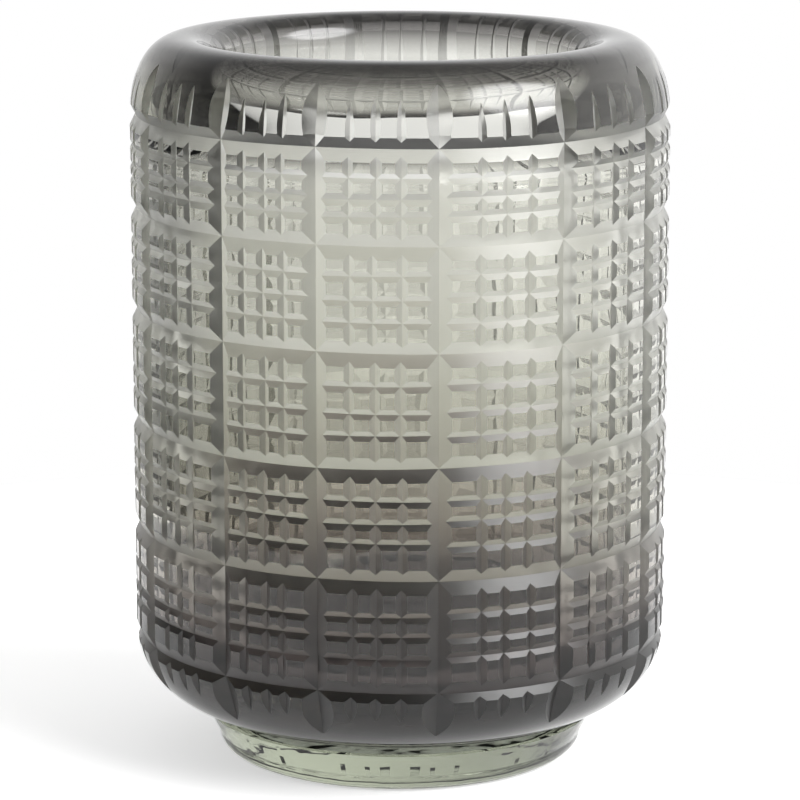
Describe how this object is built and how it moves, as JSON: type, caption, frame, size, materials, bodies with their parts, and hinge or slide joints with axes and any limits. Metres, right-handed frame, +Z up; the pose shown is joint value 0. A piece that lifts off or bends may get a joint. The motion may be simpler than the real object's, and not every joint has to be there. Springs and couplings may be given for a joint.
{
  "type": "cut glass cylinder vase",
  "caption": "Thick smoke-grey glass cylinder vase with a rolled-in mouth, a hand-cut grid of V grooves and a fused clear glass disc foot.",
  "frame": {"origin": "centre of the resting face, under the foot", "axes": "+Z up along the vase's axis, out of the mouth; -Y towards the viewer; +X to the viewer's right"},
  "size_m": [0.18, 0.18, 0.2435],
  "materials": {
    "smoke_glass": "polished smoke-grey glass, darker towards the base, with fine-ground V grooves",
    "clear_glass": "polished clear glass with a faint green-grey tint"
  },
  "bodies": {
    "root": {"cut_glass_body": "smoke_glass", "clear_foot": "clear_glass"}
  },
  "joints": []
}
